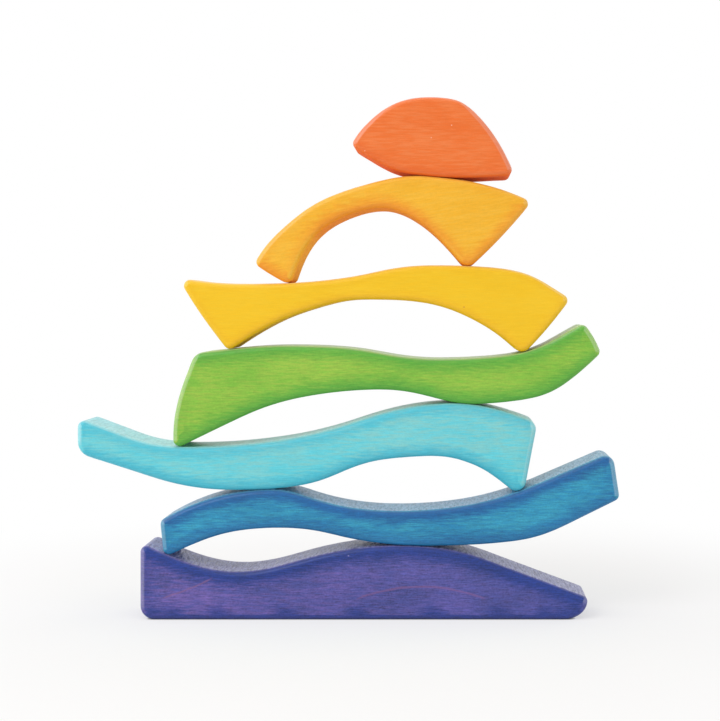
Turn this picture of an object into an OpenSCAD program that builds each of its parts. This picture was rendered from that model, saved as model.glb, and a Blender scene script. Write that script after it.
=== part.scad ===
// Rainbow stacker: seven loose wooden blocks, sawn in waves from one thickness of board
// and balanced on each other, from the flat-bottomed base up to the small sun.
//
// A block is one closed outline, cut square through the board, with its long edges
// rounded over. Lengths and heights are measured to the sharp corners of the outline,
// before they are rounded, from its left corner and from its lowest corner or belly.
// The stack is worked out from the bottom up: each block is lowered on the one below
// and tilted until both halves of its underside are equally close to it.

/* [Board] */
// Thickness of the board that every block is sawn from
board_t = 35; // [20:1:60]
// Radius of the round-over along the long edges
edge_r = 3; // [1:0.25:4]
// Radius of the sharp corners and tips
corner_r = 3.5; // [3.5:0.25:6]
// Radius of the blunt feet
foot_r = 5.5; // [4:0.25:7]
// Bow of the slanted ends, as degrees of turn between their middle and a corner
end_bow = 4; // [0:0.5:6]
// Clearance left where one block rests on another
rest_gap = 0.25; // [0.1:0.05:0.5]

/* [Base: flat underneath, one hollow, one crest] */
// Length
base_l = 250; // [225:1:290]
// Height of the square left end
base_end_h = 43; // [36:0.5:50]
// Hollow, from the left end
base_hollow_x = 54; // [44:1:64]
// Height of the hollow
base_hollow_h = 26.5; // [20:0.5:31]
// Crest, from the left end
base_crest_x = 143; // [130:1:156]
// Height of the crest
base_crest_h = 41; // [37:0.5:48]
// Height of the nose at the right end
base_nose_h = 12; // [9:0.5:17]
// Length of the rounding from the nose down to the flat underside
base_toe_l = 13; // [8:0.5:18]
// Radius of the heel, the lower left corner
base_heel_r = 7.5; // [4:0.5:11]

/* [Blue wave: one foot, one belly] */
// Left corner, in from the left end of the base
blue_in = 11; // [7:0.5:16]
// Length
blue_l = 256.5; // [238:0.5:276]
// Height of the upper left corner
blue_end_h = 20.5; // [16:0.5:25]
// Crest, from the left corner
blue_crest_x = 63; // [54:1:72]
// Height of the crest
blue_crest_h = 38; // [34:0.5:43]
// Hollow of the upper side, from the left corner
blue_hollow_x = 132; // [122:1:142]
// Height of the hollow
blue_hollow_h = 26; // [22:0.5:29]
// Height of the upper right corner
blue_tail_h = 59; // [53:0.5:65]
// Length of the sawn right end
blue_tail_t = 26.5; // [20:0.5:31]
// How far the foot's corner stands in from the left corner
blue_foot_in = 2; // [0.5:0.5:4]
// Arch of the underside, from the left corner
blue_arch_x = 67; // [59:1:75]
// Height of the arch
blue_arch_h = 16.5; // [12:0.5:20]
// Belly of the underside, from the left corner
blue_belly_x = 148; // [138:1:158]
// Height of the belly
blue_belly_h = 6.5; // [3:0.5:9]

/* [Turquoise wave: one belly, one foot] */
// Left end, out from the blue block's left corner
turquoise_out = 46; // [41:0.5:51]
// Length
turquoise_l = 256.5; // [246:0.5:268]
// Height of the upper left corner
turquoise_end_h = 40; // [35:0.5:45]
// Length of the sawn left end
turquoise_end_t = 19.5; // [15:0.5:23]
// Radius of the lower left corner
turquoise_heel_r = 9; // [5:0.5:11]
// Hollow of the upper side, from the left end
turquoise_hollow_x = 64; // [56:1:72]
// Height of the hollow
turquoise_hollow_h = 24; // [20:0.5:28]
// Crest, from the left end
turquoise_crest_x = 210; // [202:1:218]
// Height of the crest
turquoise_crest_h = 48.5; // [44:0.5:53]
// Height of the upper right corner
turquoise_tail_h = 37.5; // [33:0.5:42]
// Arch of the underside, from the left end
turquoise_arch_x = 199; // [191:1:207]
// Height of the arch
turquoise_arch_h = 19; // [15:0.5:23]
// Belly of the underside, from the left end
turquoise_belly_x = 86; // [78:1:94]
// How far the foot's corner stands in from the right corner
turquoise_foot_in = 8; // [5:0.5:11]
// How far the foot's corner reaches below the belly
turquoise_foot_drop = 4.5; // [2:0.5:7]

/* [Green hill: one foot, one belly] */
// Foot's corner, in from the turquoise block's left end
green_in = 53.5; // [48:0.5:59]
// Length
green_l = 238.5; // [230:0.5:248]
// Height of the left shoulder
green_end_h = 54; // [49:0.5:59]
// How far the shoulder leans in from the foot's corner
green_lean = 12; // [9:0.5:15]
// Radius of the shoulder
green_shoulder_r = 10; // [5:0.5:14]
// Crest, from the foot's corner
green_crest_x = 62; // [55:1:69]
// Height of the crest
green_crest_h = 58; // [54:0.5:63]
// Hollow of the upper side, from the foot's corner
green_hollow_x = 147; // [139:1:155]
// Height of the hollow
green_hollow_h = 50.5; // [47:0.5:54]
// Height of the raised tip
green_tip_h = 70.5; // [65:0.5:75]
// How far the tip stands in from the right corner
green_tip_in = 9.5; // [7:0.5:12]
// Height of the right corner
green_tail_h = 54; // [50:0.5:58]
// Arch of the underside, from the foot's corner
green_arch_x = 116; // [109:1:123]
// Height of the arch
green_arch_h = 33.5; // [29:0.5:37]
// Belly of the underside, from the foot's corner
green_belly_x = 167; // [159:1:175]
// Height of the belly
green_belly_h = 25.5; // [22:0.5:29]

/* [Yellow bridge: two feet] */
// Left tip, in from the green block's foot
yellow_in = 2.5; // [-3:0.5:7]
// Length
yellow_l = 219; // [211:0.5:228]
// Height of the left tip
yellow_end_h = 44; // [40:0.5:49]
// Hollow of the upper side, from the left tip
yellow_hollow_x = 39; // [33:1:45]
// Height of the hollow
yellow_hollow_h = 40.5; // [38:0.5:43]
// Crest, from the left tip
yellow_crest_x = 141; // [134:1:148]
// Height of the crest
yellow_crest_h = 50.5; // [47:0.5:55]
// Height of the right tip
yellow_tail_h = 31.5; // [28:0.5:35]
// Left foot's corner, from the left tip
yellow_foot_x = 28; // [25:0.5:32]
// How far the left foot's corner stands above the right foot's
yellow_foot_h = 3; // [1.5:0.5:5.5]
// How far the right foot's corner stands in from the right tip
yellow_foot_in = 27; // [23:0.5:31]
// Arch of the underside, from the left tip
yellow_arch_x = 103; // [97:1:109]
// Height of the arch
yellow_arch_h = 31.5; // [28:0.5:36]

/* [Amber arch: two feet] */
// Left tip, in from the yellow block's left tip
amber_in = 42.5; // [39:0.5:47]
// Length
amber_l = 155; // [147:0.5:162]
// Height of the left tip
amber_end_h = 12; // [9:0.5:15]
// Crest, from the left tip
amber_crest_x = 90; // [86:1:94]
// Height of the crest
amber_crest_h = 61; // [57:0.5:66]
// Height of the right tip
amber_tail_h = 46.5; // [42:0.5:51]
// Left foot's corner, from the left tip
amber_foot_x = 20; // [17:0.5:23]
// How far the right foot's corner stands in from the right tip
amber_foot_in = 36.5; // [32:0.5:40]
// How far the right foot's corner stands above the left foot's
amber_foot_h = 8.5; // [6:0.5:11]
// Arch of the underside, from the left tip
amber_arch_x = 71; // [67:1:75]
// Height of the arch
amber_arch_h = 43; // [39:0.5:47]

/* [Orange sun: round above, nearly flat below] */
// Left tip, in from the amber block's left tip
orange_in = 54; // [50:0.5:58]
// Length
orange_l = 91.5; // [85:0.5:96]
// Height of the left tip
orange_end_h = 18; // [14:0.5:21]
// Crest, from the left tip
orange_crest_x = 43.5; // [40:0.5:47]
// Height of the crest
orange_crest_h = 45; // [41:0.5:49]
// Height of the right tip
orange_tail_h = 1; // [0.5:0.25:2.5]
// Lowest point of the underside, from the left tip
orange_low_x = 64; // [59:1:69]

/* [Hidden] */

// Steps of the round-over, and the coarsest steps along an outline
edge_steps = 4;
turn_step = 10;
chord_step = 10;
// Share of its radius that a corner keeps when the round-over has been taken off it
corner_keeps = 0.1;
// Share of the way to the next knot that a corner's rounding may take
corner_reach = 0.46;
// Widest tilt of the search for a seat, and its halvings
seat_tilt = 20;
seat_steps = 22;

// ---- Outlines -----------------------------------------------------------------------
// An outline runs clockwise: over the top to the right, and back along the underside.
// It is written as knots [x, z, heading] and sharp corners
// [x, z, heading before, heading after, radius]. Headings are in degrees, 0 to the right
// and 90 upwards, so the underside is written with headings round 180.

// Heading from a to b
function aim(a, b) = atan2(b[1] - a[1], b[0] - a[0]);

// Angle brought between -180 and 180
function wrap(angle) = angle - 360 * round(angle / 360);

function flat(p) = [p[0], p[1]];

// Knot between a and b, a share of the way along and a share of the way up
function between(a, b, along, up, heading) =
    [a[0] + along * (b[0] - a[0]), a[1] + up * (b[1] - a[1]), heading];

// Distance from the sharp corner c to where its rounding starts
function cut(c, before, after) =
    min(
        max(c[4], edge_r * (1 + corner_keeps)) * tan(abs(wrap(c[3] - c[2])) / 2),
        corner_reach * norm(flat(before) - flat(c)),
        corner_reach * norm(flat(after) - flat(c))
    );

// The two knots between which corner c is rounded
function rounded(c, away) =
    [
        [c[0] - away * cos(c[2]), c[1] - away * sin(c[2]), c[2]],
        [c[0] + away * cos(c[3]), c[1] + away * sin(c[3]), c[3]]
    ];

function knots(path) =
    let (n = len(path))
    [for (i = [0:n - 1])
        let (p = path[i])
        each len(p) == 3 ? [p]
            : rounded(p, cut(p, path[(i + n - 1) % n], path[(i + 1) % n]))];

// Points [x, z, heading] of the curve from knot a up to knot b. The handles have the
// length that makes the curve an arc wherever the two knots lie on one.
function curve(a, b) =
    let (
        chord = norm(flat(b) - flat(a)),
        turn = wrap(b[2] - a[2]),
        handle = chord / (3 * pow(cos(turn / 4), 2)),
        p0 = flat(a),
        p1 = p0 + handle * [cos(a[2]), sin(a[2])],
        p3 = flat(b),
        p2 = p3 - handle * [cos(b[2]), sin(b[2])],
        level = turn == 0 && a[1] == b[1],
        steps = level ? 1 : ceil(max(abs(turn) / turn_step, chord / chord_step))
    )
    [for (i = [0:steps - 1])
        let (
            t = i / steps,
            u = 1 - t,
            p = u * u * u * p0 + 3 * u * u * t * p1 + 3 * u * t * t * p2 + t * t * t * p3,
            v = u * u * (p1 - p0) + 2 * u * t * (p2 - p1) + t * t * (p3 - p2)
        )
        [p[0], p[1], atan2(v[1], v[0])]];

function outline(path) =
    let (
        k = knots(path),
        n = len(k)
    )
    [for (i = [0:n - 1]) each curve(k[i], k[(i + 1) % n])];

// ---- Seating ------------------------------------------------------------------------

function total(list, i = 0) =
    i == len(list) - 1 ? list[i] : list[i] + total(list, i + 1);

// Centre of the area inside the outline, over which the block balances
function centre(o) =
    let (
        n = len(o),
        next = [for (i = [1:n]) o[i % n]],
        w = [for (i = [0:n - 1]) o[i][0] * next[i][1] - next[i][0] * o[i][1]]
    )
    total([for (i = [0:n - 1]) w[i] * (flat(o[i]) + flat(next[i]))]) / (3 * total(w));

// The outline turned by tilt about c
function turned(o, tilt, c) =
    [for (p = o)
        let (
            x = p[0] - c[0],
            z = p[1] - c[1]
        )
        [
            c[0] + x * cos(tilt) - z * sin(tilt),
            c[1] + x * sin(tilt) + z * cos(tilt),
            p[2] + tilt
        ]];

function moved(o, x, z) = [for (p = o) [p[0] + x, p[1] + z, p[2]]];

function upper_side(o) = [for (p = o) if (cos(p[2]) > 0) flat(p)];

function under_side(o) = [for (p = o) if (cos(p[2]) <= 0) flat(p)];

// Least clearance of the underside u over the upper side t, between x = a and x = b
function clearance(u, t, a, b) =
    let (
        ux = [for (p = u) p[0]],
        tx = [for (p = t) p[0]],
        low = max(a, min(ux), min(tx)),
        high = min(b, max(ux), max(tx))
    )
    min([
        for (x = [low, high]) lookup(x, u) - lookup(x, t),
        for (p = u) if (p[0] > low && p[0] < high) p[1] - lookup(p[0], t),
        for (p = t) if (p[0] > low && p[0] < high) lookup(p[0], u) - p[1]
    ]);

// How much more clearance the right half of outline o has than its left half
function lean(o, t, c) =
    let (u = under_side(o))
    clearance(u, t, c[0], c[0] + base_l) - clearance(u, t, c[0] - base_l, c[0]);

// Tilt at which both halves of o are equally close to the upper side t
function seat(o, t, c, low = -seat_tilt, high = seat_tilt, steps = seat_steps) =
    let (middle = (low + high) / 2)
    steps == 0 ? middle
        : lean(turned(o, middle, c), t, c) > 0 ? seat(o, t, c, low, middle, steps - 1)
        : seat(o, t, c, middle, high, steps - 1);

// The outline moved x along and seated on the block below
function seated(o, below, x) =
    let (
        t = upper_side(below),
        here = moved(o, x, 0),
        c = centre(here),
        level = turned(here, seat(here, t, c), c)
    )
    moved(level, 0, rest_gap - clearance(under_side(level), t, c[0] - base_l, c[0] + base_l));

// ---- Base ---------------------------------------------------------------------------

base_hollow = [base_hollow_x, base_hollow_h, 0];
base_crest = [base_crest_x, base_crest_h, 0];
base_nose = [base_l, base_nose_h];
base_flank = between(base_crest, base_nose, 0.46, 0.26, -20.5);

base_path = [
    [0, base_end_h, 90, -26, corner_r],
    base_hollow,
    between(base_hollow, base_crest, 0.35, 0.37, 16.5),
    base_crest,
    base_flank,
    [base_nose[0], base_nose[1], aim(base_flank, base_nose), -100, corner_r],
    [base_l - base_toe_l, 0, 180],
    [0, 0, 180, 90, base_heel_r]
];

// ---- Blue wave ----------------------------------------------------------------------

blue_foot = [blue_foot_in, 0];
blue_end = [0, blue_end_h];
blue_crest = [blue_crest_x, blue_crest_h, 0];
blue_hollow = [blue_hollow_x, blue_hollow_h, 0];
blue_tail = [blue_l - blue_tail_t * sin(8.5), blue_tail_h];
blue_heel = blue_tail + blue_tail_t * [sin(8.5), -cos(8.5)];
blue_belly = [blue_belly_x, blue_belly_h, 180];
blue_arch = [blue_arch_x, blue_arch_h, 180];

blue_path = [
    [blue_end[0], blue_end[1], aim(blue_foot, blue_end), 30, corner_r],
    blue_crest,
    between(blue_crest, blue_hollow, 0.33, 0.44, -17.5),
    blue_hollow,
    between(blue_hollow, blue_tail, 0.33, 0.1, 10),
    between(blue_hollow, blue_tail, 0.66, 0.47, 23),
    [blue_tail[0], blue_tail[1], 23, -81.5, foot_r],
    [blue_heel[0], blue_heel[1], -81.5, -153.5, corner_r],
    between(blue_heel, blue_belly, 0.28, 0.57, -154),
    between(blue_heel, blue_belly, 0.52, 0.89, -172),
    blue_belly,
    between(blue_arch, blue_belly, 0.36, 0.36, 165.5),
    blue_arch,
    between(blue_foot, blue_arch, 0.4, 0.67, 199),
    [blue_foot[0], blue_foot[1], 205, aim(blue_foot, blue_end), corner_r]
];

// ---- Turquoise wave -----------------------------------------------------------------

turquoise_heel = [0, turquoise_end_h - turquoise_end_t];
turquoise_end = [0, turquoise_end_h];
turquoise_hollow = [turquoise_hollow_x, turquoise_hollow_h, 0];
turquoise_crest = [turquoise_crest_x, turquoise_crest_h, 0];
turquoise_tail = [turquoise_l, turquoise_tail_h];
turquoise_foot = [turquoise_l - turquoise_foot_in, -turquoise_foot_drop];
turquoise_arch = [turquoise_arch_x, turquoise_arch_h, 180];
turquoise_belly = [turquoise_belly_x, 0, 180];

turquoise_path = [
    [turquoise_end[0], turquoise_end[1], 90, -20.5, corner_r],
    between(turquoise_end, turquoise_hollow, 0.47, 0.7, -20.3),
    turquoise_hollow,
    between(turquoise_hollow, turquoise_crest, 0.34, 0.16, 8.7),
    between(turquoise_hollow, turquoise_crest, 0.63, 0.59, 19),
    turquoise_crest,
    [turquoise_tail[0], turquoise_tail[1], -21, aim(turquoise_tail, turquoise_foot), foot_r],
    [turquoise_foot[0], turquoise_foot[1], aim(turquoise_tail, turquoise_foot), 143, foot_r],
    between(turquoise_arch, turquoise_foot, 0.54, 0.3, 153),
    turquoise_arch,
    between(turquoise_belly, turquoise_arch, 0.78, 0.92, 186),
    between(turquoise_belly, turquoise_arch, 0.58, 0.62, 202.5),
    between(turquoise_belly, turquoise_arch, 0.39, 0.2, 193),
    turquoise_belly,
    between(turquoise_belly, turquoise_heel, 0.51, 0.34, 162),
    [turquoise_heel[0], turquoise_heel[1], 162, 90, turquoise_heel_r]
];

// ---- Green hill ---------------------------------------------------------------------

green_foot = [0, 0];
green_end = [green_lean, green_end_h];
green_crest = [green_crest_x, green_crest_h, 0];
green_hollow = [green_hollow_x, green_hollow_h, 0];
green_tip = [green_l - green_tip_in, green_tip_h];
green_tail = [green_l, green_tail_h];
green_belly = [green_belly_x, green_belly_h, 180];
green_arch = [green_arch_x, green_arch_h, 180];

green_path = [
    between(green_foot, green_end, 0.68, 0.82, 68),
    [green_end[0], green_end[1], 68, 6, green_shoulder_r],
    green_crest,
    between(green_crest, green_hollow, 0.6, 0.49, -11),
    green_hollow,
    between(green_hollow, green_tip, 0.42, 0.08, 6),
    between(green_hollow, green_tip, 0.74, 0.42, 26.5),
    [green_tip[0], green_tip[1], 27.5, -52, corner_r],
    [green_tail[0], green_tail[1], -68, -136, corner_r],
    between(green_tail, green_belly, 0.34, 0.7, -149),
    between(green_tail, green_belly, 0.7, 0.95, -173),
    green_belly,
    between(green_belly, green_arch, 0.47, 0.51, 165),
    green_arch,
    between(green_foot, green_arch, 0.63, 0.88, 190.5),
    between(green_foot, green_arch, 0.35, 0.58, 204.5),
    [green_foot[0], green_foot[1], 205.6, 92, corner_r]
];

// ---- Yellow bridge ------------------------------------------------------------------

yellow_left_foot = [yellow_foot_x, yellow_foot_h];
yellow_end = [0, yellow_end_h];
yellow_hollow = [yellow_hollow_x, yellow_hollow_h, 0];
yellow_crest = [yellow_crest_x, yellow_crest_h, 0];
yellow_tail = [yellow_l, yellow_tail_h];
yellow_right_foot = [yellow_l - yellow_foot_in, 0];
yellow_arch = [yellow_arch_x, yellow_arch_h, 180];
yellow_rise = aim(yellow_left_foot, yellow_end);
yellow_fall = aim(yellow_tail, yellow_right_foot);

yellow_path = [
    [yellow_end[0], yellow_end[1], yellow_rise - end_bow, -9, corner_r],
    yellow_hollow,
    between(yellow_hollow, yellow_crest, 0.43, 0.19, 6.5),
    between(yellow_hollow, yellow_crest, 0.69, 0.62, 13),
    yellow_crest,
    between(yellow_crest, yellow_tail, 0.38, 0.05, -4),
    between(yellow_crest, yellow_tail, 0.69, 0.27, -19.5),
    [yellow_tail[0], yellow_tail[1], -32, yellow_fall + end_bow, corner_r],
    [yellow_right_foot[0], yellow_right_foot[1], yellow_fall - end_bow, 137, foot_r],
    between(yellow_arch, yellow_right_foot, 0.71, 0.39, 152),
    between(yellow_arch, yellow_right_foot, 0.45, 0.1, 167),
    yellow_arch,
    between(yellow_left_foot, yellow_arch, 0.73, 0.9, 195.5),
    between(yellow_left_foot, yellow_arch, 0.35, 0.55, 206),
    [yellow_left_foot[0], yellow_left_foot[1], 214, yellow_rise + end_bow, corner_r]
];

// ---- Amber arch ---------------------------------------------------------------------

amber_left_foot = [amber_foot_x, 0];
amber_end = [0, amber_end_h];
amber_crest = [amber_crest_x, amber_crest_h, 0];
amber_tail = [amber_l, amber_tail_h];
amber_right_foot = [amber_l - amber_foot_in, amber_foot_h];
amber_arch = [amber_arch_x, amber_arch_h, 180];
amber_rise = aim(amber_left_foot, amber_end);
amber_fall = aim(amber_tail, amber_right_foot);

amber_path = [
    [amber_end[0], amber_end[1], amber_rise - end_bow, 60, corner_r],
    between(amber_end, amber_crest, 0.175, 0.398, 42),
    between(amber_end, amber_crest, 0.435, 0.735, 24.5),
    between(amber_end, amber_crest, 0.69, 0.9, 15),
    amber_crest,
    between(amber_crest, amber_tail, 0.19, 0.055, -6.5),
    between(amber_crest, amber_tail, 0.45, 0.2, -10.5),
    [amber_tail[0], amber_tail[1], -24.5, amber_fall + end_bow, corner_r],
    [amber_right_foot[0], amber_right_foot[1], amber_fall - end_bow, 130, foot_r],
    between(amber_arch, amber_right_foot, 0.36, 0.155, 149.5),
    amber_arch,
    between(amber_left_foot, amber_arch, 0.545, 0.86, 204.5),
    between(amber_left_foot, amber_arch, 0.23, 0.575, 231),
    [amber_left_foot[0], amber_left_foot[1], 251, amber_rise + end_bow, corner_r]
];

// ---- Orange sun ---------------------------------------------------------------------

orange_end = [0, orange_end_h];
orange_crest = [orange_crest_x, orange_crest_h, 0];
orange_tail = [orange_l, orange_tail_h];
orange_low = [orange_low_x, 0, 180];

orange_path = [
    [orange_end[0], orange_end[1], 149, 62, corner_r],
    between(orange_end, orange_crest, 0.22, 0.475, 45),
    between(orange_end, orange_crest, 0.59, 0.885, 22),
    orange_crest,
    between(orange_crest, orange_tail, 0.29, 0.03, -13),
    between(orange_crest, orange_tail, 0.55, 0.21, -45),
    between(orange_crest, orange_tail, 0.855, 0.66, -61.5),
    [orange_tail[0], orange_tail[1], -67, 181, corner_r],
    orange_low,
    between(orange_end, orange_low, 0.49, 0.86, 170.5)
];

// ---- Stack --------------------------------------------------------------------------

// Left corners, from the middle of the base
blue_x = blue_in - base_l / 2;
turquoise_x = blue_x - turquoise_out;
green_x = turquoise_x + green_in;
yellow_x = green_x + yellow_in;
amber_x = yellow_x + amber_in;
orange_x = amber_x + orange_in;

base_line = moved(outline(base_path), -base_l / 2, 0);
blue_line = seated(outline(blue_path), base_line, blue_x);
turquoise_line = seated(outline(turquoise_path), blue_line, turquoise_x);
green_line = seated(outline(green_path), turquoise_line, green_x);
yellow_line = seated(outline(yellow_path), green_line, yellow_x);
amber_line = seated(outline(amber_path), yellow_line, amber_x);
orange_line = seated(outline(orange_path), amber_line, orange_x);

// ---- Blocks -------------------------------------------------------------------------

// The outline drawn in by d, square to its headings
function drawn_in(o, d) = [for (p = o) [p[0] + d * sin(p[2]), p[1] - d * cos(p[2])]];

// Triangles that fill the points p of an outline. They are zipped up from its left end,
// point number left, to its right end, which is span points on along the upper side.
// u and v count the points passed on the upper side and on the underside.
function zipped(p, left, span, u = 1, v = 0) =
    let (
        n = len(p),
        top = (left + u) % n,
        under = (left + n - v) % n,
        next_top = (top + 1) % n,
        next_under = (under + n - 1) % n
    )
    u + v == n - 1 ? []
        : v == n - span - 1 || (u < span && p[next_top][0] < p[next_under][0])
        ? concat([[top, next_top, under]], zipped(p, left, span, u + 1, v))
        : concat([[top, next_under, under]], zipped(p, left, span, u, v + 1));

function filled(p) =
    let (
        n = len(p),
        x = [for (q = p) q[0]],
        left = [for (i = [0:n - 1]) if (x[i] == min(x)) i][0],
        right = [for (i = [0:n - 1]) if (x[i] == max(x)) i][0]
    )
    zipped(p, left, (right - left + n) % n);

// The outline at full size through the middle of the board, drawn in along a quarter
// round at the front face and at the back face
module block(o) {
    n = len(o);
    quarter = [for (i = [0:edge_steps]) 90 * i / edge_steps];
    // Depth and draw of each ring of points, from the front face to the back face
    front = [for (a = quarter) [edge_r * (1 - cos(a)) - board_t / 2, edge_r * (1 - sin(a))]];
    back = [for (a = quarter) [board_t / 2 - edge_r * (1 - sin(a)), edge_r * (1 - cos(a))]];
    rings = concat(front, back);
    last = len(rings) - 1;
    face = filled(drawn_in(o, edge_r));
    polyhedron(
        points = [for (r = rings) for (p = drawn_in(o, r[1])) [p[0], r[0], p[1]]],
        faces = concat(
            face,
            [for (r = [0:last - 1]) for (i = [0:n - 1])
                let (
                    j = (i + 1) % n,
                    here = r * n,
                    beyond = here + n
                )
                each [[beyond + i, beyond + j, here + j], [beyond + i, here + j, here + i]]],
            [for (f = face) [for (i = [2:-1:0]) last * n + f[i]]]
        )
    );
}

module indigo_base() {
    color("#524D9B") block(base_line);
}

module blue_wave() {
    color("#3B85B5") block(blue_line);
}

module turquoise_wave() {
    color("#6CCFDA") block(turquoise_line);
}

module green_hill() {
    color("#83BE42") block(green_line);
}

module yellow_bridge() {
    color("#F3C926") block(yellow_line);
}

module amber_arch() {
    color("#F3B23B") block(amber_line);
}

module orange_sun() {
    color("#F07A40") block(orange_line);
}

indigo_base();
blue_wave();
turquoise_wave();
green_hill();
yellow_bridge();
amber_arch();
orange_sun();
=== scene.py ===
"""Rainbow stacker: seven sawn limewood blocks, sanded, stained in rainbow colours and oiled, in one stack."""
import math

import bpy
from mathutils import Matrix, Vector, kdtree


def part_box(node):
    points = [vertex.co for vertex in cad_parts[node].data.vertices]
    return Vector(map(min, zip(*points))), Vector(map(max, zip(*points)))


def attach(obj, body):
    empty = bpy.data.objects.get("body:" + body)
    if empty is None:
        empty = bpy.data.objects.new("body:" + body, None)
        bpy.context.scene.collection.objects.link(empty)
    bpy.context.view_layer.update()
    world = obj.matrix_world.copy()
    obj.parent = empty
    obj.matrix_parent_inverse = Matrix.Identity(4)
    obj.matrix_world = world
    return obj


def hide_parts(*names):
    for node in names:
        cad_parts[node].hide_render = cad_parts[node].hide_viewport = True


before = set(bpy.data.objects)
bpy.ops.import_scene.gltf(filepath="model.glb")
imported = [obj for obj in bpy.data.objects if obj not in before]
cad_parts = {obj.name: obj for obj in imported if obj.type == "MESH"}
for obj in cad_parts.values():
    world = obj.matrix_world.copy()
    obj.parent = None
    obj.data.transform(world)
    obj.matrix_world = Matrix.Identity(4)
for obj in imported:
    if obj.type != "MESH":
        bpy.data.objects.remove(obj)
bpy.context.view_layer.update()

# ---------------------------------------------------------------- Camera
# The picture is square-on and off-centre: the lens axis meets the stack right of its middle and 175 mm above
# the table, so the frame is shifted. The blocks below the axis show their upper narrow faces, and the two
# above it a little of their undersides.
MM = 0.001
EYE = (47.8 * MM, -802.5 * MM, 175.3 * MM)
# the outlines, 3 mm behind the blocks' front faces, are this far from the eye and drawn at this scale
OUTLINES_AWAY_MM = 788
PIXELS_PER_MM = 1.79
PICTURE_SIDE = 721
PICTURE_CENTRE = (360, 360.5)
AXIS_PIXEL = (450, 305)
SENSOR_MM = 36

scene = bpy.context.scene
bpy.ops.object.camera_add(location=EYE, rotation=(math.radians(90), 0, 0))
camera = bpy.context.object
camera.data.sensor_width = SENSOR_MM
camera.data.lens = PIXELS_PER_MM * OUTLINES_AWAY_MM * SENSOR_MM / PICTURE_SIDE
camera.data.shift_x = (PICTURE_CENTRE[0] - AXIS_PIXEL[0]) / PICTURE_SIDE
camera.data.shift_y = (AXIS_PIXEL[1] - PICTURE_CENTRE[1]) / PICTURE_SIDE
scene.camera = camera

# ---------------------------------------------------------------- Table and white surroundings
# A matt white sheet under the stack keeps its soft shadow, and a painted contact shade darkens it most where
# the base rests on it. Where the lens and the blocks' gloss see it, it pales to plain white with distance,
# and the room behind
# is white too. None of that adds light: the lamps and the room's own plain level do.
ROOM_LEVEL = 0.45
WHITE = 1.0
SHEET_SIDE = 12
# how far from the middle the sheet is still in full shade, and where it is wholly white
SHADE_UNTIL, WHITE_FROM = 130 * MM, 420 * MM
# the shaded sheet's own glow, and how near to the base it fades, as a painted contact shade
SHADE_GLOW = 0.57
CONTACT = 1.2 * MM
LAMPS_AIM = Vector((0, 0, 120 * MM))

scene.view_settings.view_transform = "Standard"


def linear(hex_colour):
    """An sRGB hex colour as the linear RGBA that a shader takes."""
    srgb = [int(hex_colour[i:i + 2], 16) / 255 for i in (1, 3, 5)]
    return [c / 12.92 if c <= 0.04045 else ((c + 0.055) / 1.055) ** 2.4 for c in srgb] + [1]


def add_node(tree, kind, inputs=None, output=0, **settings):
    """Adds a node of that kind with its settings, sets or links its inputs by name or number, and gives one
    of its outputs."""
    node = tree.nodes.new("ShaderNode" + kind)
    for name, value in settings.items():
        setattr(node, name, value)
    for key, value in (inputs or {}).items():
        if isinstance(value, bpy.types.NodeSocket):
            tree.links.new(value, node.inputs[key])
        else:
            node.inputs[key].default_value = value
    return node.outputs[output] if node.outputs else None


def new_tree(owner):
    """The emptied node tree of a material or world."""
    owner.use_nodes = True
    owner.node_tree.nodes.clear()
    return owner.node_tree


def seen_rays(tree):
    """1 for the rays of the lens, of gloss and of glass, 0 for those that light things."""
    lens = add_node(tree, "LightPath", output="Is Camera Ray")
    gloss = add_node(tree, "LightPath", output="Is Glossy Ray")
    glass = add_node(tree, "LightPath", output="Is Transmission Ray")
    either = add_node(tree, "Math", {0: lens, 1: gloss}, operation="MAXIMUM")
    return add_node(tree, "Math", {0: either, 1: glass}, operation="MAXIMUM")


world = bpy.data.worlds.new("white_studio")
scene.world = world
tree = new_tree(world)
room = add_node(tree, "Background", {"Color": linear("#FFFFFF"), "Strength": ROOM_LEVEL})
paper = add_node(tree, "Background", {"Color": linear("#FFFFFF"), "Strength": WHITE})
surroundings = add_node(tree, "MixShader", {0: seen_rays(tree), 1: room, 2: paper})
add_node(tree, "OutputWorld", {"Surface": surroundings})

# paper with no coat: it scatters what falls on it evenly and shows no gloss
sheet_paper = bpy.data.materials.new("matt_white_paper")
tree = new_tree(sheet_paper)
spot = add_node(tree, "TexCoord", output="Object")
reach = add_node(tree, "VectorMath", {0: spot}, output="Value", operation="LENGTH")
far = add_node(tree, "MapRange", {"Value": reach, "From Min": SHADE_UNTIL, "From Max": WHITE_FROM},
               interpolation_type="SMOOTHSTEP")
matt = add_node(tree, "BsdfDiffuse", {"Color": linear("#FAFAFA")})
shaded = add_node(tree, "BsdfDiffuse", {"Color": linear("#ABA9A8")})
# painted contact shade: the sheet's glow dims within this distance of what rests on it
painted_contact_shade = add_node(tree, "AmbientOcclusion", {"Distance": CONTACT}, output="AO")
level = add_node(tree, "Math", {0: painted_contact_shade, 1: SHADE_GLOW}, operation="MULTIPLY")
glow = add_node(tree, "Emission", {"Color": linear("#FFFFFF"), "Strength": level})
near = add_node(tree, "AddShader", {0: shaded, 1: glow})
white = add_node(tree, "Emission", {"Color": linear("#FFFFFF"), "Strength": WHITE})
seen = add_node(tree, "MixShader", {0: far, 1: near, 2: white})
either_way = add_node(tree, "MixShader", {0: seen_rays(tree), 1: matt, 2: seen})
add_node(tree, "OutputMaterial", {"Surface": either_way})

bpy.ops.mesh.primitive_plane_add(size=SHEET_SIDE, location=(0, 0, 0))
sheet = bpy.context.object
sheet.name = "white_sheet"
sheet.data.materials.append(sheet_paper)


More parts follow.
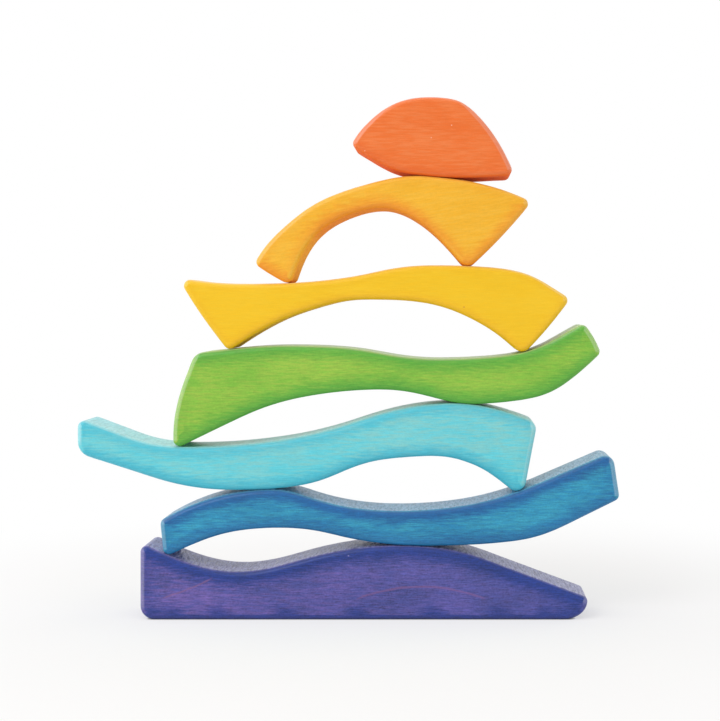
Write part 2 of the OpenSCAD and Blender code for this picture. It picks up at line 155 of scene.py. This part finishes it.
def softbox(name, place, side, watts):
    """A square diffused lamp at place, turned to a point a little below the middle of the stack."""
    bpy.ops.object.light_add(type="AREA", location=place)
    lamp = bpy.context.object
    lamp.name = name
    lamp.data.size = side
    lamp.data.energy = watts
    lamp.rotation_euler = (lamp.location - LAMPS_AIM).to_track_quat("Z", "Y").to_euler()


softbox("key_upper_left", (-0.9, -1.1, 1.2), side=0.9, watts=10.8)
softbox("window_left", (-1.2, -0.1, 0.25), side=1.0, watts=4.5)
softbox("ceiling", (0, -0.1, 1.4), side=1.2, watts=5)
softbox("fill_right", (1.2, -1.2, 0.25), side=1.0, watts=4.6)
softbox("window_behind_right", (1.3, 0.9, 0.6), side=0.8, watts=3)

# ---------------------------------------------------------------- Base
# The indigo block that the rest stands on: sawn from a 35 mm limewood board, rims rounded over and sanded,
# dipped in water stain that gathers along the rims, with painted shade along the lower ones, then oiled. It
# lies free on the table.
SAME_POINT = 0.005 * MM
SAME_DEPTH = 0.01 * MM
CURVE_STEPS = 8
SHORTEST_STEP = 0.3 * MM
ROUND_SEGMENTS = 7
QUARTER_ROUND = 0.5
CELL = 3 * MM
# how nearly a face's normal lies along the board's depth: a front or back one, and the flat part of it
FRONT_OR_BACK, FLAT = 0.9, 0.9999


def select_faces(piece, wanted):
    """Selects the faces that wanted is true of, and nothing else, and ends in edit mode."""
    bpy.ops.object.mode_set(mode="EDIT")
    bpy.ops.mesh.select_mode(type="FACE")
    bpy.ops.mesh.select_all(action="DESELECT")
    bpy.ops.object.mode_set(mode="OBJECT")
    for face in piece.data.polygons:
        face.select = wanted(face)
    bpy.ops.object.mode_set(mode="EDIT")


def sawn_block(node):
    """A smooth block on the outline of that CAD node: sawn to the board's depth, rounded over, its faces
    divided finely. The point attribute rim says how far each point lies in from the outline, in millimetres,
    and outward which way the nearest edge faces."""
    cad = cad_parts[node]
    low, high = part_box(node)
    depths = sorted({round(v.co.y, 6) for v in cad.data.vertices})
    outline_y = depths[len(depths) // 2 - 1]
    round_over = outline_y - depths[0]

    bpy.ops.object.select_all(action="DESELECT")
    block = bpy.data.objects.new(node + "_stained", cad.data.copy())
    scene.collection.objects.link(block)
    bpy.context.view_layer.objects.active = block
    block.select_set(True)
    block.data.materials.clear()

    # the block's own outline, as a closed line of points
    bpy.ops.object.mode_set(mode="EDIT")
    bpy.ops.mesh.select_all(action="SELECT")
    bpy.ops.mesh.remove_doubles(threshold=SAME_POINT)
    bpy.ops.mesh.select_all(action="DESELECT")
    bpy.ops.object.mode_set(mode="OBJECT")
    for v in block.data.vertices:
        v.select = abs(v.co.y - outline_y) > SAME_DEPTH
    bpy.ops.object.mode_set(mode="EDIT")
    bpy.ops.mesh.delete(type="VERT")
    bpy.ops.object.mode_set(mode="OBJECT")

    # a smooth curve through those points, in eight steps from each to the next but none under 0.3 mm long,
    # and nowhere proud of the node
    bpy.ops.object.convert(target="CURVE")
    bpy.ops.object.mode_set(mode="EDIT")
    bpy.ops.curve.select_all(action="SELECT")
    bpy.ops.curve.spline_type_set(type="BEZIER")
    bpy.ops.curve.handle_type_set(type="AUTOMATIC")
    bpy.ops.object.mode_set(mode="OBJECT")
    block.data.resolution_u = CURVE_STEPS
    bpy.ops.object.convert(target="MESH")
    for v in block.data.vertices:
        v.co.x = min(max(v.co.x, low.x), high.x)
        v.co.z = min(max(v.co.z, low.z), high.z)
    bpy.ops.object.mode_set(mode="EDIT")
    bpy.ops.mesh.select_all(action="SELECT")
    bpy.ops.mesh.remove_doubles(threshold=SHORTEST_STEP)

    # sawn through the board
    bpy.ops.mesh.edge_face_add()
    bpy.ops.transform.translate(value=(0, low.y - outline_y, 0))
    bpy.ops.mesh.extrude_region_move(TRANSFORM_OT_translate={"value": (0, high.y - low.y, 0)})
    bpy.ops.mesh.select_all(action="SELECT")
    bpy.ops.mesh.normals_make_consistent(inside=False)
    bpy.ops.object.mode_set(mode="OBJECT")
    outline = kdtree.KDTree(len(block.data.vertices))
    ways = []
    for i, v in enumerate(block.data.vertices):
        outline.insert((v.co.x, 0, v.co.z), i)
        ways.append(Vector((v.normal.x, 0, v.normal.z)).normalized())
    outline.balance()

    # both rims rounded over
    select_faces(block, lambda face: abs(face.normal.y) > FRONT_OR_BACK)
    bpy.ops.mesh.region_to_loop()
    bpy.ops.mesh.bevel(offset=round_over, offset_type="OFFSET", segments=ROUND_SEGMENTS,
                       profile=QUARTER_ROUND, affect="EDGES", clamp_overlap=False)

    # the flat faces divided, with the rest out of the way, so that the stain can follow the rims
    select_faces(block, lambda face: abs(face.normal.y) > FLAT)
    bpy.ops.mesh.hide(unselected=True)
    for side_on, start, end in ((Vector((1, 0, 0)), low.x, high.x), (Vector((0, 0, 1)), low.z, high.z)):
        for step in range(1, math.ceil((end - start) / CELL)):
            bpy.ops.mesh.select_all(action="SELECT")
            bpy.ops.mesh.bisect(plane_co=side_on * (start + step * CELL), plane_no=side_on)
    bpy.ops.mesh.reveal(select=False)
    bpy.ops.object.mode_set(mode="OBJECT")

    rim = block.data.attributes.new("rim", "FLOAT", "POINT")
    outward = block.data.attributes.new("outward", "FLOAT_VECTOR", "POINT")
    for v in block.data.vertices:
        _, nearest, distance = outline.find((v.co.x, 0, v.co.z))
        rim.data[v.index].value = distance / MM
        outward.data[v.index].vector = ways[nearest]
    bpy.ops.object.shade_smooth()
    bpy.ops.object.modifier_add(type="WEIGHTED_NORMAL")
    bpy.ops.object.modifier_apply(modifier=block.modifiers[0].name)
    return block


# the wood's noises: name, size in millimetres with the grain's own way first, and detail. Vessels are 0.1 mm
# wide and pores less, and both are drawn as wide as a pixel of the picture, about 0.6 mm
GRAIN = (("vessels", (6, 0.6, 0.6), 2), ("streaks", (10, 1.1, 1.1), 3), ("cloud", (40, 15, 15), 1),
         ("pores", (0.9, 0.7, 0.7), 1), ("saw_marks", (1.3, 8, 1.3), 2))
# each board's noises are taken this far beyond the last one's, so that no two boards look alike
BOARD_GAP = 300 * MM
# the streaks and the vessels push the gathered stain's edge in by this many millimetres at most
STREAKS_PUSH, VESSELS_PUSH = 6, 4
RELIEF = 0.03 * MM
# a Mix node's inputs for two numbers, its inputs for two colours, and its output for a colour
NUMBER_A, NUMBER_B, COLOUR_A, COLOUR_B, COLOUR_OUT = 2, 3, 6, 7, 2


def wood_grain(tree, board, turn):
    """The noises of that board by name, each stretched along a grain that leans by turn degrees."""
    place = add_node(tree, "TexCoord", output="Object")
    along = add_node(tree, "Mapping", {"Vector": place, "Location": (0, BOARD_GAP * board, 0),
                                       "Rotation": (0, math.radians(turn), 0)})
    grain = {}
    for name, size, detail in GRAIN:
        stretched = add_node(tree, "VectorMath", {0: along, 1: [s * MM for s in size]}, operation="DIVIDE")
        grain[name] = add_node(tree, "TexNoise", {"Vector": stretched, "Scale": 1, "Detail": detail,
                                                  "Roughness": 0.6})
    return grain


def gathered_stain_and_shade(tree, grain, rim, up, sideways, rims, band):
    """How much stain gathered, with painted shade along the lower rims, where it runs right to the edge: its
    edge is ragged along the grain, and an upper crown or a rounded tip has none.
    """
    end = add_node(tree, "MapRange", {"Value": sideways, "From Min": 0.6, "From Max": 0.95},
                   interpolation_type="SMOOTHSTEP")
    ragged = add_node(tree, "Math", {0: grain["streaks"], 1: STREAKS_PUSH, 2: rim}, operation="MULTIPLY_ADD")
    ragged = add_node(tree, "Math", {0: grain["vessels"], 1: VESSELS_PUSH, 2: ragged},
                      operation="MULTIPLY_ADD")
    usual_push = (STREAKS_PUSH + VESSELS_PUSH) / 2
    stain_and_painted_shade = add_node(tree, "MapRange", {"Value": ragged, "From Min": usual_push + band[0],
                                           "From Max": usual_push + band[1], "To Min": 1, "To Max": 0},
                        interpolation_type="SMOOTHSTEP")
    crown = add_node(tree, "MapRange", {"Value": rim, "From Min": 0.15, "From Max": 0.8},
                     interpolation_type="SMOOTHSTEP")
    # on the lower rims the crown is not spared, so the deep colour runs to the edge: gathered stain and
    # painted shade
    crown = add_node(tree, "Mix", {0: up, NUMBER_A: 1.0, NUMBER_B: crown})
    tip = add_node(tree, "MapRange", {"Value": rim, "From Min": 1.8, "From Max": 3.0},
                   interpolation_type="SMOOTHSTEP")
    spared = add_node(tree, "Mix", {0: end, NUMBER_A: crown, NUMBER_B: tip})
    amount = add_node(tree, "Mix", {0: up, NUMBER_A: rims[1], NUMBER_B: rims[0]})
    amount = add_node(tree, "Mix", {0: end, NUMBER_A: amount, NUMBER_B: rims[2]})
    amount = add_node(tree, "Math", {0: amount, 1: spared}, operation="MULTIPLY")
    return add_node(tree, "Math", {0: stain_and_painted_shade, 1: amount}, operation="MULTIPLY")


def pale_streaks(tree, grain, across, low, high, worn):
    """How far the stain took less, in long streaks: more or fewer of them from the left end to the right."""
    share = add_node(tree, "MapRange", {"Value": across, "From Min": low, "From Max": high,
                                        "To Min": worn[0], "To Max": worn[1]})
    streaks = add_node(tree, "Math", {0: grain["cloud"], 1: 0.4, 2: grain["streaks"]},
                       operation="MULTIPLY_ADD")
    streaks = add_node(tree, "MapRange", {"Value": streaks, "From Min": 0.5, "From Max": 0.95},
                       interpolation_type="SMOOTHSTEP")
    return add_node(tree, "Math", {0: streaks, 1: share}, operation="MULTIPLY")


def wood_tone(tree, grain, narrow, mottle, saw):
    """How light each point is: vessels, pores and cloud everywhere, the saw's marks on the narrow faces,
    which lighten them on the whole, in part as a painted sheen.
    """
    tone = add_node(tree, "Math", {0: grain["vessels"], 1: 1.7, 2: grain["pores"]}, operation="MULTIPLY_ADD")
    tone = add_node(tree, "Math", {0: grain["cloud"], 1: 0.7, 2: tone}, operation="MULTIPLY_ADD")
    tone = add_node(tree, "MapRange", {"Value": tone, "From Min": 0, "From Max": 3.4,
                                       "To Min": 1 - 5 * mottle, "To Max": 1 + 5 * mottle})
    # the saw's marks: grain, and on the whole a lightening of the narrow faces that is in part painted sheen
    saw_marks_and_sheen = add_node(tree, "MapRange", {"Value": grain["saw_marks"], "From Min": 0.3, "From Max": 0.7,
                                       "To Min": 1 - saw, "To Max": 1 + 1.5 * saw})
    saw_marks_and_sheen = add_node(tree, "Mix", {0: narrow, NUMBER_A: 1.0, NUMBER_B: saw_marks_and_sheen})
    return add_node(tree, "Math", {0: tone, 1: saw_marks_and_sheen}, operation="MULTIPLY")


def rubbed_wood_and_highlight(tree, grain, rim, rise, up, sideways, narrow, rub_and_highlight):
    """How far the upper side is paled towards white, as wood rubbed bare by hands and sanding and as painted
    highlight
    and sheen: a thin line on the crowns of the upper rims, a wider one on the rounded ends and slopes, and
    the saw's ridges on the upper narrow faces."""
    upper = add_node(tree, "MapRange", {"Value": rise, "From Min": -0.4, "From Max": 0})
    slope = add_node(tree, "MapRange", {"Value": sideways, "From Min": 0.35, "From Max": 0.8},
                     interpolation_type="SMOOTHSTEP")
    width = add_node(tree, "Mix", {0: slope, NUMBER_A: 0.4, NUMBER_B: 2.3})
    beyond = add_node(tree, "Math", {0: rim, 1: width}, operation="SUBTRACT")
    rims = add_node(tree, "MapRange", {"Value": beyond, "From Min": 0, "From Max": 0.6, "To Min": 1,
                                       "To Max": 0})
    rims = add_node(tree, "Math", {0: rims, 1: upper}, operation="MULTIPLY")
    depth = add_node(tree, "Mix", {0: slope, NUMBER_A: rub_and_highlight[0], NUMBER_B: rub_and_highlight[1]})
    rims = add_node(tree, "Math", {0: rims, 1: depth}, operation="MULTIPLY")
    # painted sheen in part: the saw's ridges are whitened on the upper narrow faces only
    ridge_wear_and_sheen = add_node(tree, "MapRange", {"Value": grain["saw_marks"], "From Min": 0.25, "From Max": 0.75,
                                         "To Min": 0, "To Max": 2 * rub_and_highlight[2]})
    ridge_wear_and_sheen = add_node(tree, "Math", {0: ridge_wear_and_sheen, 1: narrow}, operation="MULTIPLY")
    ridge_wear_and_sheen = add_node(tree, "Math", {0: ridge_wear_and_sheen, 1: up}, operation="MULTIPLY")
    return add_node(tree, "Math", {0: rims, 1: ridge_wear_and_sheen}, operation="MAXIMUM")


def fine_line(tree, grain, across, height, x0, z0, x1, z1, bend, thick, strength):
    """How strongly a fine line shows: from (x0, z0) to (x1, z1) and as thick as given, in millimetres, with
    a bow of bend per millimetre. It wavers with the streaks and fades at both ends."""
    chord = add_node(tree, "MapRange", {"Value": across, "From Min": x0 * MM, "From Max": x1 * MM,
                                        "To Min": z0 * MM, "To Max": z1 * MM}, clamp=False)
    left = add_node(tree, "Math", {0: across, 1: x0 * MM}, operation="SUBTRACT")
    right = add_node(tree, "Math", {0: across, 1: x1 * MM}, operation="SUBTRACT")
    bow = add_node(tree, "Math", {0: left, 1: right}, operation="MULTIPLY")
    course = add_node(tree, "Math", {0: bow, 1: bend / MM, 2: chord}, operation="MULTIPLY_ADD")
    course = add_node(tree, "Math", {0: grain["streaks"], 1: 2 * thick * MM, 2: course},
                      operation="MULTIPLY_ADD")
    off = add_node(tree, "Math", {0: height, 1: course}, operation="SUBTRACT")
    off = add_node(tree, "Math", {0: off, 1: thick * MM}, operation="ADD")
    off = add_node(tree, "Math", {0: off}, operation="ABSOLUTE")
    line = add_node(tree, "MapRange", {"Value": off, "From Min": thick / 4 * MM, "From Max": thick * MM,
                                       "To Min": strength, "To Max": 0}, interpolation_type="SMOOTHSTEP")
    fade = min(3, (x1 - x0) / 3) * MM
    begins = add_node(tree, "MapRange", {"Value": left, "From Min": 0, "From Max": fade})
    ends = add_node(tree, "MapRange", {"Value": right, "From Min": -fade, "From Max": 0, "To Min": 1,
                                       "To Max": 0})
    line = add_node(tree, "Math", {0: line, 1: begins}, operation="MULTIPLY")
    return add_node(tree, "Math", {0: line, 1: ends}, operation="MULTIPLY")


def stained_limewood(node, board, body, deep, pale, mottle, worn, rims, band, saw, rub_and_highlight, turn=0, marks=()):
    """Limewood, sanded to 240 grit, dipped in water stain and oiled. That gives the eye an even, silky colour
    with fine streaks along the grain, more stain where it ran together inside the rims, with painted shade
    added along the lower rims, and at a low angle a pale sheen, broken on the narrow faces by the saw's
    marks. On the upper rims, the rounded ends and the upper narrow faces a painted highlight and sheen pales
    the colour in part.
    body, deep, pale: the colours of the face, of the gathered stain, which is also the painted shade on the
    lower rims, and of the streaks that took less.
    board, turn: which board the block is from, and by how many degrees its grain leans.
    mottle: how much the tone varies. worn: how many streaks are pale at the left and the right end.
    rims: how much stain gathered inside the upper, the lower and the end rims; inside the lower ones it is
    painted shade in part.
    band: how far in from the rim that is full, and where it is gone, in millimetres.
    saw: how strong the saw's marks are.
    rub_and_highlight: how pale the crowns, the rounded ends and the saw's ridges are made, as rubbed bare
    wood and painted highlight.
    marks: fine lines, each as both ends, bend, thickness, colour and strength."""
    low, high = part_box(node)
    stain = bpy.data.materials.new(node.split("_")[0] + "_stained_limewood")
    tree = new_tree(stain)
    place = add_node(tree, "TexCoord", output="Object")
    across = add_node(tree, "SeparateXYZ", {0: place}, output="X")
    height = add_node(tree, "SeparateXYZ", {0: place}, output="Z")
    grain = wood_grain(tree, board, turn)

    # rise and sideways say which way the nearest edge faces. up is 1 where that is upwards, and narrow is 1
    # on the narrow faces, which lie on the outline itself
    rim = add_node(tree, "Attribute", output="Fac", attribute_name="rim")
    outward = add_node(tree, "Attribute", output="Vector", attribute_name="outward")
    rise = add_node(tree, "SeparateXYZ", {0: outward}, output="Z")
    up = add_node(tree, "MapRange", {"Value": rise, "From Min": -0.6, "From Max": 0.8},
                  interpolation_type="SMOOTHSTEP")
    sideways = add_node(tree, "SeparateXYZ", {0: outward}, output="X")
    sideways = add_node(tree, "Math", {0: sideways}, operation="ABSOLUTE")
    narrow = add_node(tree, "MapRange", {"Value": rim, "From Min": 0.02, "From Max": 0.4, "To Min": 1,
                                         "To Max": 0})

    streaked = pale_streaks(tree, grain, across, low.x, high.x, worn)
    colour = add_node(tree, "Mix", {0: streaked, COLOUR_A: linear(body), COLOUR_B: linear(pale)},
                      output=COLOUR_OUT, data_type="RGBA")
    # the deep colour of gathered stain, and of painted shade along the lower rims
    stain_and_painted_shade = gathered_stain_and_shade(tree, grain, rim, up, sideways, rims, band)
    colour = add_node(tree, "Mix", {0: stain_and_painted_shade, COLOUR_A: colour, COLOUR_B: linear(deep)},
                      output=COLOUR_OUT, data_type="RGBA")
    tone = wood_tone(tree, grain, narrow, mottle, saw)
    colour = add_node(tree, "Mix", {0: 1.0, COLOUR_A: colour, COLOUR_B: tone},
                      output=COLOUR_OUT, data_type="RGBA", blend_type="MULTIPLY")
    rub_and_painted_highlight = rubbed_wood_and_highlight(tree, grain, rim, rise, up, sideways, narrow, rub_and_highlight)
    # rubbed bare wood and the painted highlight are halfway from the face's colour to white
    bare_and_highlight = [(1 + c) / 2 for c in linear(body)]
    colour = add_node(tree, "Mix", {0: rub_and_painted_highlight, COLOUR_A: colour, COLOUR_B: bare_and_highlight},
                      output=COLOUR_OUT, data_type="RGBA")
    for x0, z0, x1, z1, bend, thick, line_colour, strength in marks:
        line = fine_line(tree, grain, across, height, x0, z0, x1, z1, bend, thick, strength)
        colour = add_node(tree, "Mix", {0: line, COLOUR_A: colour, COLOUR_B: linear(line_colour)},
                          output=COLOUR_OUT, data_type="RGBA")

    relief = add_node(tree, "Math", {0: narrow, 1: up}, operation="MULTIPLY")
    relief = add_node(tree, "Math", {0: relief, 1: grain["saw_marks"]}, operation="MULTIPLY")
    relief = add_node(tree, "Math", {0: relief, 1: 50 * saw, 2: grain["vessels"]}, operation="MULTIPLY_ADD")
    relief = add_node(tree, "Math", {0: relief, 1: grain["pores"]}, operation="ADD")
    relief = add_node(tree, "Bump", {"Strength": 1, "Distance": RELIEF, "Height": relief})

    # oil leaves a silky sheen on the faces and more on the upper narrow ones, and little reaches the lower
    rough = add_node(tree, "MapRange", {"Value": grain["pores"], "From Min": 0.35, "From Max": 0.65,
                                        "To Min": 0.36 - 0.3 * saw, "To Max": 0.36 + 0.3 * saw})
    rough = add_node(tree, "Mix", {0: up, NUMBER_A: 1.0, NUMBER_B: rough})
    rough = add_node(tree, "Mix", {0: narrow, NUMBER_A: 0.4, NUMBER_B: rough})
    oiled = add_node(tree, "BsdfPrincipled", {"Base Color": colour, "Normal": relief, "Roughness": rough,
                                              "IOR": 1.5, "Specular IOR Level": 0.45})
    add_node(tree, "OutputMaterial", {"Surface": oiled})
    return stain


def finish_block(node, stain):
    """The block in its stain, in its CAD node's place, free on what lies under it."""
    block = sawn_block(node)
    block.data.materials.append(stain)
    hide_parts(node)
    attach(block, node)


# a yearly ring bows up right of the middle, another climbs at the left, and one pale fleck is by the crest
finish_block("indigo_base", stained_limewood(
    "indigo_base", board=1, body="#484D96", deep="#1A3584", pale="#6F5AA0", mottle=0.28, worn=(1.0, 0.15),
    rims=(1.0, 0.8, 0.45), band=(3, 11.5), saw=0.4, rub_and_highlight=(0.1, 0.2, 0.35),
    marks=((-5, 11.5, 68, 11.5, -0.0053, 0.9, "#8E5A86", 0.4),
           (-113, 12, -84, 23.5, 0.004, 0.8, "#96607A", 0.4),
           (-9.2, 35.6, -8.2, 35.6, 0, 0.5, "#C8C0E0", 0.4))))

# ---------------------------------------------------------------- Blue wave
# The second block: sawn from the same board stock as a low wave, rounded over, stained a greenish blue that
# ran thick inside its rims, with painted shade along the lower ones. It stands free on the base, on its left
# foot and its belly.
finish_block("blue_wave", stained_limewood(
    "blue_wave", board=2, body="#1B82B0", deep="#105F9B", pale="#3AA4B9", mottle=0.17, worn=(0.6, 0.6),
    rims=(1.0, 0.65, 0.3), band=(2.5, 10), saw=0.3, rub_and_highlight=(0.15, 0.25, 0.3)))

# ---------------------------------------------------------------- Turquoise wave
# The third block, the longest wave: a thin turquoise stain that lets the greyish wood show in fine streaks.
# It lies free on the blue one, on its belly and its right foot.
finish_block("turquoise_wave", stained_limewood(
    "turquoise_wave", board=3, body="#5DCFDC", deep="#34B0C8", pale="#90CAC2", mottle=0.06, worn=(0.5, 0.8),
    rims=(0.5, 0.75, 0.2), band=(1.5, 9), saw=0.2, rub_and_highlight=(0.35, 0.35, 0.35)))

# ---------------------------------------------------------------- Green hill
# The fourth block: a hill with one heavy foot at the left and a rising tail, stained leaf green, with
# yellowish streaks where the wood took less. It stands free on the turquoise one.
finish_block("green_hill", stained_limewood(
    "green_hill", board=4, body="#7CBA38", deep="#4DA335", pale="#A0BC44", mottle=0.1, worn=(0.9, 0.6),
    rims=(0.8, 0.85, 0.2), band=(1, 11), saw=0.2, rub_and_highlight=(0.35, 0.25, 0.25)))

# ---------------------------------------------------------------- Yellow bridge
# The fifth block: a bridge on two pointed feet, stained an even sun yellow that hides the grain almost
# wholly, with one brown knot no bigger than a pinhead. It stands free on the green one.
finish_block("yellow_bridge", stained_limewood(
    "yellow_bridge", board=5, body="#F3C000", deep="#EBAC00", pale="#F5CA28", mottle=0.025, worn=(0.4, 0.4),
    rims=(0.2, 0.4, 0.2), band=(1, 7), saw=0.06, rub_and_highlight=(0.3, 0.1, 0.3),
    marks=((55, 174.1, 56.2, 174.1, 0, 0.5, "#B8603A", 0.7),)))

# ---------------------------------------------------------------- Amber arch
# The sixth block: a leaning arch, its thin leg at the left and its broad one at the right, in an amber stain
# that turns orange round the inside of the arch, where the darker orange is in part painted shade, with a
# scratch on the thin leg. It stands free on the yellow one.
finish_block("amber_arch", stained_limewood(
    "amber_arch", board=6, body="#F2B11E", deep="#ED8C16", pale="#F4BD3E", turn=8, mottle=0.04,
    worn=(0.6, 0.6), rims=(0.1, 0.8, 0.3), band=(1, 9), saw=0.06, rub_and_highlight=(0.1, 0.1, 0.2),
    marks=((-34.8, 202.8, -32.4, 206.4, 0, 0.4, "#A0552A", 0.6),)))

# ---------------------------------------------------------------- Orange sun
# The seventh and smallest block, a low dome: an orange stain with fine paler streaks and three bare specks
# like pinpricks. It balances free on the amber one, at the top of the stack.
finish_block("orange_sun", stained_limewood(
    "orange_sun", board=7, body="#EB6D22", deep="#E55C0C", pale="#EE8243", mottle=0.03, worn=(0.8, 0.8),
    rims=(0.1, 0.3, 0.1), band=(1, 7), saw=0.06, rub_and_highlight=(0.2, 0.2, 0.2),
    marks=((48.3, 275.4, 49.1, 275.4, 0, 0.4, "#FAD8C0", 0.8),
           (37, 268.4, 37.7, 268.4, 0, 0.4, "#FAD8C0", 0.6),
           (0, 261.2, 0.7, 261.2, 0, 0.4, "#FAD8C0", 0.6))))
